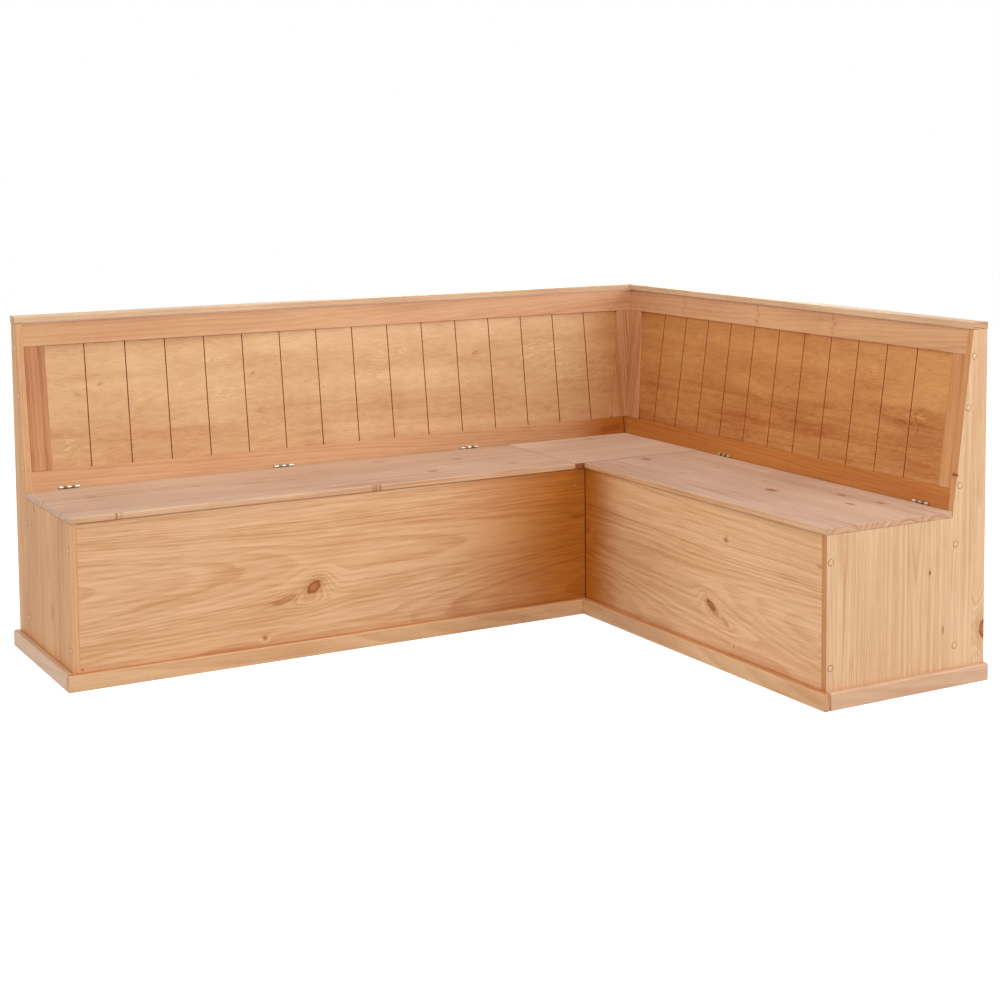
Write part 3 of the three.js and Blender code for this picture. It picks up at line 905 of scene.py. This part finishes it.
def screw_mesh():
    """A screw head with a cross recess."""
    head = new_object("screw", lathe(dome(SCREW_RADIUS, SCREW_FOOT, SCREW_RISE, SCREW_RINGS), SCREW_SIDES))
    cutters = []
    for length, width in ((SLOT_LENGTH, SLOT_WIDTH), (SLOT_WIDTH, SLOT_LENGTH)):
        work = bmesh.new()
        bmesh.ops.create_cube(work, size=1, matrix=Matrix.Diagonal((length, width, SLOT_DEPTH * 2, 1)))
        bmesh.ops.translate(work, verts=work.verts, vec=(0, 0, SCREW_RISE))
        cutter = new_object("slot", mesh_of(work, "slot"))
        head.modifiers.new("slot", "BOOLEAN").object = cutter
        cutters.append(cutter)
    shown = head.evaluated_get(bpy.context.evaluated_depsgraph_get())
    mesh = bpy.data.meshes.new_from_object(shown)
    for thing in [head, *cutters]:
        bpy.data.objects.remove(thing)
    return mesh


def hinges(nickel, shaded_nickel):
    """The leaves and pins, with a cross-head screw in every hole."""
    screw = screw_mesh()
    for node in sorted(n for n in frame["nodes"] if slot_of_node(n) == "hinge_nickel"):
        # The lid leaves get the darker copy of the nickel, as painted shade
        metal = shaded_nickel if node.endswith("lid_leaf") else nickel
        softened(node, 0).data.materials.append(metal)
    for node in sorted(n for n in frame["nodes"] if n.endswith("_pin")):
        wing, _, number, _ = node.split("_")
        leaves = (
            ("fixed", BACK_FACE[wing], BACK_UP[wing], -FIXED_LEAF_FACE),
            ("lid", -OUT[wing], UP, -LID_LEAF_FACE),
        )
        for leaf, normal, rise, face in leaves:
            leaf_node = f"{wing}_hinge_{number}_{leaf}_leaf"
            for side, letter in ((-1, "a"), (1, "b")):
                reach = ALONG[wing] * side * (HINGE_HALF - SCREW_INSET)
                mesh = screw.copy()
                set_down(mesh, middle_of(node) + reach - rise * SCREW_DROP + normal * face, normal)
                mesh.materials.append(nickel)
                finished(f"look_{leaf_node}_screw_{letter}", mesh, body_of_node(leaf_node))


def nails(nickel, dark):
    """The bright nail head on the long front board, and dark spots by the corner stiles that paint the
    shade at the corners of the back panels' rebates.
    """
    mesh = lathe(dome(NAIL_RADIUS, NAIL_RISE, NAIL_RISE, NAIL_RINGS), NAIL_SIDES)
    set_down(mesh, landed("long_front_board", NAIL_PLACE, OUT["long"]), OUT["long"])
    mesh.materials.append(nickel)
    finished("look_front_board_nail", mesh, "carcass")
    # Dark spots painted as shade at the panels' corners
    for wing, places in CORNER_SHADE_SPOTS.items():
        for place, letter in zip(places, "ab"):
            mesh = lathe(dome(SPOT_RADIUS, SPOT_RISE, SPOT_RISE, SPOT_RINGS), NAIL_SIDES)
            set_down(mesh, landed(wing + "_back_panel", place, BACK_FACE[wing]), BACK_FACE[wing])
            mesh.materials.append(dark)
            finished(f"look_{wing}_nail_hole_{letter}", mesh, "carcass")


# Camera and stage

def camera():
    """The camera of the photograph."""
    lens = bpy.data.cameras.new("photo_camera")
    lens.sensor_width = SENSOR
    lens.lens = SENSOR * FOCAL_SHARE
    lens.shift_x = SHIFT_X
    lens.shift_y = SHIFT_Y
    ahead = Vector((math.sin(CAMERA_YAW), math.cos(CAMERA_YAW), 0))
    forward = ahead * math.cos(CAMERA_PITCH) - UP * math.sin(CAMERA_PITCH)
    level = Vector((math.cos(CAMERA_YAW), -math.sin(CAMERA_YAW), 0))
    above = level.cross(forward)
    right = level * math.cos(CAMERA_ROLL) + above * math.sin(CAMERA_ROLL)
    top = above * math.cos(CAMERA_ROLL) - level * math.sin(CAMERA_ROLL)
    turn = Matrix((right, top, -forward)).transposed()
    viewer = new_object("photo_camera", lens)
    viewer.matrix_world = Matrix.Translation(CAMERA_PLACE) @ turn.to_4x4()
    bpy.context.scene.camera = viewer


def pale_floor():
    """A pale floor that keeps the bench's shadow, with a glow that is seen but lights nothing else."""
    material, nodes, shader = surface("studio_floor")
    nodes.put(shader.inputs["Base Color"], (FLOOR_SHADE, FLOOR_SHADE, FLOOR_SHADE, 1))
    nodes.put(shader.inputs["Roughness"], FLOOR_ROUGHNESS)
    nodes.put(shader.inputs["Specular IOR Level"], 0.0)
    glow = nodes.add("Emission", {"Color": WHITE, "Strength": FLOOR_GLOW})
    bright = nodes.add("AddShader")
    nodes.put(bright.inputs[0], shader.outputs[0])
    nodes.put(bright.inputs[1], glow.outputs[0])
    looks = nodes.mix_shaders(nodes.seen_directly(), shader, bright)
    nodes.put(material.node_tree.nodes["Material Output"].inputs["Surface"], looks)

    work = bmesh.new()
    bmesh.ops.create_grid(work, x_segments=1, y_segments=1, size=FLOOR_REACH)
    floor = new_object("studio_floor", mesh_of(work, "studio_floor"))
    floor.location.z = -FLOOR_GAP
    floor.data.materials.append(material)


def surroundings():
    """White surroundings for what sees them directly, and a faint even light from them on the bench."""
    world = bpy.data.worlds.new("studio")
    bpy.context.scene.world = world
    world.use_nodes = True
    nodes = Nodes(world.node_tree)
    backdrop = nodes.add("Background", {"Color": WHITE, "Strength": BACKDROP})
    ambient = nodes.add("Background", {"Color": WHITE, "Strength": AMBIENT})
    sky = nodes.mix_shaders(nodes.seen_directly(), ambient, backdrop)
    nodes.put(world.node_tree.nodes["World Output"].inputs["Surface"], sky)


def lamps():
    """Soft square lamps, all aimed at the bench."""
    for name, place, size, power in LAMPS:
        lamp = bpy.data.lights.new(name, "AREA")
        lamp.shape = "SQUARE"
        lamp.size = size
        lamp.energy = power
        holder = new_object(name, lamp)
        holder.location = place
        holder.rotation_euler = (LAMP_AIM - Vector(place)).to_track_quat("-Z", "Y").to_euler()


def stage():
    """Floor, surroundings and lamps."""
    pale_floor()
    surroundings()
    lamps()


# Boards

FRONT_TONES = Tones((234, 188, 143), (194, 126, 74))
SHORT_FRONT_TONES = Tones((240, 196, 150), (200, 134, 82))
HIDDEN_TONES = Tones((222, 182, 142), (190, 134, 90))
LONG_END_TONES = Tones((231, 176, 119), (195, 129, 73), (234, 184, 138), (204, 148, 102))
# Its edge tones are deeper: painted shade on its sideways-facing front edge
SHORT_END_TONES = Tones((235, 198, 158), (205, 151, 108), (212, 154, 102), (184, 122, 74))
SEAT_TONES = Tones((224, 193, 168), (182, 137, 112), (228, 186, 144), (192, 136, 92))
# Its edge tones are much deeper: painted shade on its front edge, under the short lid's overhang and in the
# slot beside it
CORNER_SEAT_TONES = Tones((230, 201, 176), (188, 144, 118), (166, 100, 58), (126, 70, 38))
RAIL_TONES = Tones((219, 168, 123), (184, 122, 78))
# Much deeper than the other rails: painted shade on the short wing's bottom rail, above the seat
SHORT_FOOT_TONES = Tones((193, 122, 56), (158, 80, 26))
CORNER_STILE_TONES = Tones((214, 162, 114), (172, 106, 62))
END_STILE_TONES = Tones((208, 149, 102), (158, 90, 54))
SHORT_STILE_TONES = Tones((212, 154, 100), (182, 114, 62))
CAP_TONES = Tones((231, 196, 158), (194, 143, 102))
# Their edge tones are deeper: painted shade on the skirtings' tops, under the boards above
SKIRTING_TONES = Tones((231, 188, 142), (194, 136, 88), (208, 144, 94), (170, 104, 58))
END_SKIRTING_TONES = Tones((226, 188, 154), (194, 146, 112))
PLUG_TONES = Tones((238, 198, 152), (214, 160, 110))
STRAIGHT_MARKS = {"taper": 0.003, "wander": 0.003, "lines": 0.7, "streaks": 0.8}
STREAKED_MARKS = {"taper": 0.004, "wander": 0.006, "bands": 0.6, "clouds": 0.6}
FRONT_MARKS = {"ring": 0.003, "wander": 0.004, "clouds": 0.2}
END_MARKS = {
    "ring": 0.003,
    "bow": 0.07,
    "taper": 0.008,
    "lines": 0.46,
    "bands": 0.46,
    "streaks": 0.7,
    "stave_tone": 0.4,
    "gloss": 0.15,
}
SEAT_MARKS = {
    "bow": 0.045,
    "taper": 0.012,
    "lines": 0.4,
    "bands": 0.5,
    "streaks": 0.8,
    "stave": 0.098,
    "stave_tone": 0.24,
    "gloss": 0.42,
}
FRAMING_SEED = 14
BOTTOM_TONES = ((228, 190, 146), (194, 142, 98))
BOTTOM_SEED = 53
GROOVE_WALLS = (0.2, 0.97)


def rails(wing):
    """The looks of a wing's sloping frame, cap, skirtings and back board: the directions of each one's
    grain and face, how far the heart of its tree lies from its middle, its colours and its marks."""
    along = ALONG[wing]
    face = BACK_FACE[wing]
    up = BACK_UP[wing]
    plans = {
        "back_top_rail": (along, face, up * -0.1, RAIL_TONES, {"bands": 0.25}),
        "back_bottom_rail": (along, face, up * 0.13, RAIL_TONES, {"bands": 0.2}),
        "back_corner_stile": (up, face, along * 0.15, CORNER_STILE_TONES, STRAIGHT_MARKS),
        "back_end_stile": (up, face, along * 0.11, END_STILE_TONES, STREAKED_MARKS),
        "top_cap": (along, UP, OUT[wing] * 0.06, CAP_TONES, {}),
        "front_skirting": (along, OUT[wing], UP * 0.03, SKIRTING_TONES, {}),
        "end_skirting": (OUT[wing], END[wing], UP * -0.05, END_SKIRTING_TONES, {}),
        "back_board": (along, -OUT[wing], UP * 0, HIDDEN_TONES, {"bow": 0.2}),
    }
    looks = {}
    for seed, (part, (grain, depth, heart, tones, marks)) in enumerate(plans.items()):
        node = f"{wing}_{part}"
        looks[node] = Pine(grain, depth, (Crown(middle_of(node) + heart),), tones, seed=seed, **marks)
    return looks


def tell_wings_apart(looks):
    """Gives the two wings' frames the colours and marks that only one of them has, with painted shade:
    deep tones on the short wing's bottom rail, and the long wing's bottom rail darker towards the corner.
    """
    # Painted shade on the short wing's bottom rail
    looks["short_back_bottom_rail"].tones = SHORT_FOOT_TONES
    looks["short_back_end_stile"].tones = SHORT_STILE_TONES
    looks["short_back_top_rail"].knots = tuple(
        Knot((0.963, y + shift, 0.852 + rise), 0.0075, 0.55, slant, dark)
        for y, dark in ((0.4542, 0.16), (0.0872, 0.3), (-0.2493, 0.3))
        for shift, rise, slant in ((0.003, -0.019, 0.5), (-0.003, 0.0, -0.4), (0.004, 0.018, 0.3))
    )
    looks["long_back_bottom_rail"].knots = (Knot((0.8512, 0.7017, 0.4548), 0.010, 4.0, 0.1, 0.4),)
    # Painted shade that deepens the rail towards the inner corner
    looks["long_back_bottom_rail"].shade_corner = (0.9042, 0.7, 0.45)
    looks["long_back_bottom_rail"].shade_reach = 0.3


def framing():
    """The looks of the posts, the cleat and the partition inside the chests."""
    plans = {
        "rear_corner_post": (UP, OUT["long"]),
        "inner_corner_post": (UP, OUT["long"]),
        "short_lid_cleat": (ALONG["long"], -UP),
        "seam_partition": (UP, ALONG["long"]),
    }
    return {
        node: Pine(grain, depth, (Crown(middle_of(node)),), HIDDEN_TONES, seed=seed)
        for seed, (node, (grain, depth)) in enumerate(plans.items(), FRAMING_SEED)
    }


def fronts():
    """The wide front boards, each with two tongues of rings that point at each other."""
    return {
        "long_front_board": Pine(
            ALONG["long"],
            OUT["long"],
            (
                Crown((-0.365, LONG_FRONT, 0.2474), -1, 0.02),
                Crown((-0.1066, LONG_FRONT, 0.0559), 1, 0.05),
            ),
            FRONT_TONES,
            lines=0.37,
            bands=0.2,
            streaks=1.4,
            seed=1,
            knots=(
                Knot((-0.3376, LONG_FRONT, 0.1793), 0.015, 1.5, 0.6),
                Knot((-0.42, LONG_FRONT, 0.155), 0.009, 4.0, 0.28, 0.4),
                Knot((-0.4793, LONG_FRONT, 0.0612), 0.005, 1.0, 0, 0.6),
                Knot((-0.9667, LONG_FRONT, 0.0477), 0.002, 1.0, 0, 0.9),
                Knot((0.4846, LONG_FRONT, 0.2851), 0.008, 1.8, 0, 0.3),
            ),
            # Painted shade towards the inner corner, and a painted shadow along the top under the lid's lip
            shade_corner=INNER_CORNER,
            lid_shadow_top=FRONT_TOP,
            **FRONT_MARKS,
        ),
        "short_front_board": Pine(
            ALONG["short"],
            OUT["short"],
            (
                Crown((SHORT_FRONT, -0.1444, 0.058), -1, -0.03),
                Crown((SHORT_FRONT, -0.3349, 0.2009), 1, -0.06),
            ),
            SHORT_FRONT_TONES,
            lines=0.4,
            bands=0.25,
            streaks=1.25,
            seed=2,
            knots=(
                Knot((SHORT_FRONT, -0.313, 0.1515), 0.009, 2.4, -0.5),
                Knot((SHORT_FRONT, -0.3742, 0.1203), 0.007, 3.0, -0.5, 0.3),
                Knot((SHORT_FRONT, -0.3781, 0.3345), 0.006, 1.2, 0, 0.7),
                Knot((SHORT_FRONT, -0.4129, 0.064), 0.004, 1.0, 0, 0.5),
                Knot((SHORT_FRONT, -0.7542, 0.3385), 0.004, 2.0, 0, 0.4),
                Knot((SHORT_FRONT, 0.2938, 0.2402), 0.008, 1.6, 0, 0.3),
            ),
            # Painted shade towards the inner corner, and a painted shadow along the top under the lid's lip
            shade_corner=INNER_CORNER,
            shade_reach=0.22,
            lid_shadow_top=FRONT_TOP,
            **FRONT_MARKS,
        ),
    }


def ends():
    """The end panels, glued from upright staves."""
    return {
        "long_end_panel": Pine(
            UP,
            END["long"],
            (Crown((LONG_END, 0.56, 0.4)),),
            LONG_END_TONES,
            stave=0.0655,
            seed=31,
            knots=(
                Knot((LONG_END, 0.4701, 0.1625), 0.008, 2.0, 0, 0.4),
                Knot((LONG_END, 0.6232, 0.4068), 0.005, 2.4, 0, 0.4),
            ),
            **END_MARKS,
        ),
        "short_end_panel": Pine(
            UP,
            END["short"],
            (Crown((0.762, SHORT_END, 0.4)),),
            SHORT_END_TONES,
            stave=0.0685,
            seed=32,
            knots=(
                Knot((0.8296, SHORT_END, 0.2906), 0.0032),
                Knot((0.8739, SHORT_END, 0.1421), 0.004, 2.2, 0, 0.4),
                Knot((1.0102, SHORT_END, 0.1283), 0.018, 1.4, 0, 0.9),
                Knot((0.9157, SHORT_END, 0.524), 0.0026, 1.3),
            ),
            **END_MARKS,
        ),
    }


def seats():
    """The lids and the corner seat, glued from wide staves."""
    return {
        "long_seat_lid": Pine(
            ALONG["long"],
            UP,
            (Crown((0, 0.48, SEAT)),),
            SEAT_TONES,
            seed=41,
            knots=(
                Knot((-0.8716, 0.297, SEAT), 0.003, 1.0, 0, 0.6),
                Knot((-0.8606, 0.301, SEAT), 0.006, 0.6, 0.5, 0.4),
                Knot((-0.1576, 0.297, SEAT), 0.005, 1.5, 0, 0.4),
                Knot((-0.1446, 0.301, SEAT), 0.007, 0.5, 0.5, 0.6),
                Knot((-0.862, 0.5425, SEAT), 0.008, 1.6, 0, 0.5),
                Knot((-0.5725, 0.5453, SEAT), 0.007, 1.8, 0, 0.4),
                Knot((-0.4296, 0.3369, SEAT), 0.006, 1.6, 0, 0.3),
                Knot((0.0103, 0.6236, SEAT), 0.008, 1.8, 0, 0.5),
                Knot((0.0748, 0.4081, SEAT), 0.009, 1.6, 0, 0.7),
                Knot((0.2274, 0.5463, SEAT), 0.008, 1.6, 0, 0.6),
                Knot((0.3292, 0.4016, SEAT), 0.009, 1.7, 0, 0.5),
            ),
            **SEAT_MARKS,
        ),
        "corner_seat": Pine(
            ALONG["long"],
            UP,
            (Crown((0.7, 0.5, SEAT)),),
            CORNER_SEAT_TONES,
            seed=42,
            knots=(Knot((0.7423, 0.652, SEAT), 0.010, 1.6, 0, 0.5),),
            **SEAT_MARKS,
        ),
        "short_seat_lid": Pine(
            ALONG["short"],
            UP,
            (Crown((0.7, 0, SEAT)),),
            SEAT_TONES,
            seed=43,
            knots=(
                Knot((0.688, 0.254, SEAT), 0.010, 1.7, 0, 0.8),
                Knot((0.6472, 0.009, SEAT), 0.006, 1.8, 0, 0.3),
                Knot((0.6976, -0.3211, SEAT), 0.010, 1.7, 0, 0.9),
                Knot((0.7638, -0.2087, SEAT), 0.005, 1.8, 0, 0.5),
                Knot((0.8096, -0.4735, SEAT), 0.007, 1.8, 0, 0.7),
                Knot((0.7492, -0.5774, SEAT), 0.006, 2.4, 0, 0.7),
                Knot((0.8235, -0.6085, SEAT), 0.007, 1.8, 0, 0.7),
            ),
            **SEAT_MARKS,
        ),
    }


def back_panels():
    """The grooved plywood of the sloping backs."""
    return {
        "long_back_panel": Veneer(
            ALONG["long"],
            BACK_FACE["long"],
            origin=(0, 0.7117, 0.484),
            light=(230, 187, 140),
            deep=(188, 128, 78),
            # Painted shade towards its foot
            low=0.12,
            seed=51,
            wisps=(
                ((-0.44, 0.7485, 0.755), 0.02),
                ((-0.39, 0.735, 0.66), 0.035),
                ((0.04, 0.735, 0.66), 0.035),
                ((0.094, 0.747, 0.745), 0.04),
                ((0.622, 0.7426, 0.712), 0.05),
                ((0.78, 0.7369, 0.65), 0.075),
                ((-0.86, 0.73, 0.54), 0.03),
            ),
            knots=(
                Knot((-0.7691, 0.7418, 0.7058), 0.004, 2.2, 0.4, 0.3),
                Knot((-0.8318, 0.7384, 0.6806), 0.005, 2.0, -0.3, 0.22),
                Knot((-0.3248, 0.7417, 0.7055), 0.0035, 1.8, 0.5, 0.3),
                Knot((-0.3117, 0.7271, 0.5973), 0.005, 2.0, -0.4, 0.18),
                Knot((0.3938, 0.7433, 0.7171), 0.005, 2.2, 0.3, 0.2),
            ),
            # Painted shade towards the inner corner
            shade_corner=(1.1, 0.7117, 0.484),
        ),
        "short_back_panel": Veneer(
            ALONG["short"],
            BACK_FACE["short"],
            origin=(0.9189, 0, 0.484),
            # Tones deeper than the long panel's, partly as painted shade, and stronger painted shade
            # towards its foot
            light=(213, 151, 90),
            deep=(160, 84, 31),
            low=0.26,
            seed=52,
            wisp=(226, 170, 108),
            wisps=(((0.9546, -0.41, 0.745), 0.02), ((0.94, -0.6134, 0.64), 0.03)),
            knots=(
                Knot((0.9539, -0.4144, 0.7401), 0.004, 1.5, 0.6, 0.25),
                Knot((0.9579, -0.4451, 0.7694), 0.004, 2.5, -0.5, 0.2),
                Knot((0.9438, -0.6227, 0.6651), 0.005, 3.0, 0.25, 0.3),
                Knot((0.94, -0.6030, 0.645), 0.012, 0.3, 0.35, 0.35),
                Knot((0.936, -0.6136, 0.6082), 0.014, 0.25, -0.2, 0.25),
            ),
        ),
    }


def bottoms():
    """The plain plywood of the chests' bottoms."""
    looks = {}
    for wing in WINGS:
        node = wing + "_bottom_panel"
        looks[node] = Veneer(ALONG[wing], UP, middle_of(node), *BOTTOM_TONES, low=0.0, seed=BOTTOM_SEED)
    return looks


def stain_grooves(piece, face, stain):
    """Stains the slanting walls of the grooves in a panel's face."""
    steepest, flattest = GROOVE_WALLS
    piece.data.materials.append(stain)
    for polygon in piece.data.polygons:
        if steepest < polygon.normal.dot(face) < flattest:
            polygon.material_index = 1


def bench():
    """Every piece of the bench."""
    looks = {**rails("long"), **rails("short"), **framing(), **fronts(), **ends(), **seats()}
    tell_wings_apart(looks)
    for node, look in looks.items():
        edge = TRIM_EDGE if node.endswith("skirting") else BOARD_EDGE
        softened(node, edge).data.materials.append(pine_material("pine_" + node, look))
    groove_stain = stain_and_shade_material("groove_stain", GROOVE_STAIN)
    for node, sheet in {**back_panels(), **bottoms()}.items():
        piece = softened(node, GROOVE_EDGE)
        piece.data.materials.append(veneer_material("veneer_" + node, sheet))
        stain_grooves(piece, sheet.depth, groove_stain)
    nickel = nickel_material("nickel_plate", *NICKEL)
    shaded_nickel = nickel_material("shaded_nickel_plate", *SHADED_NICKEL)
    plugs(stain_and_shade_material("plug_shade_ring", GAP_SHADE))
    hinges(nickel, shaded_nickel)
    nails(nickel, stain_and_shade_material("corner_shade_spot", SPOT_SHADE))


camera()
stage()
bench()
bpy.context.scene.view_settings.view_transform = "Standard"
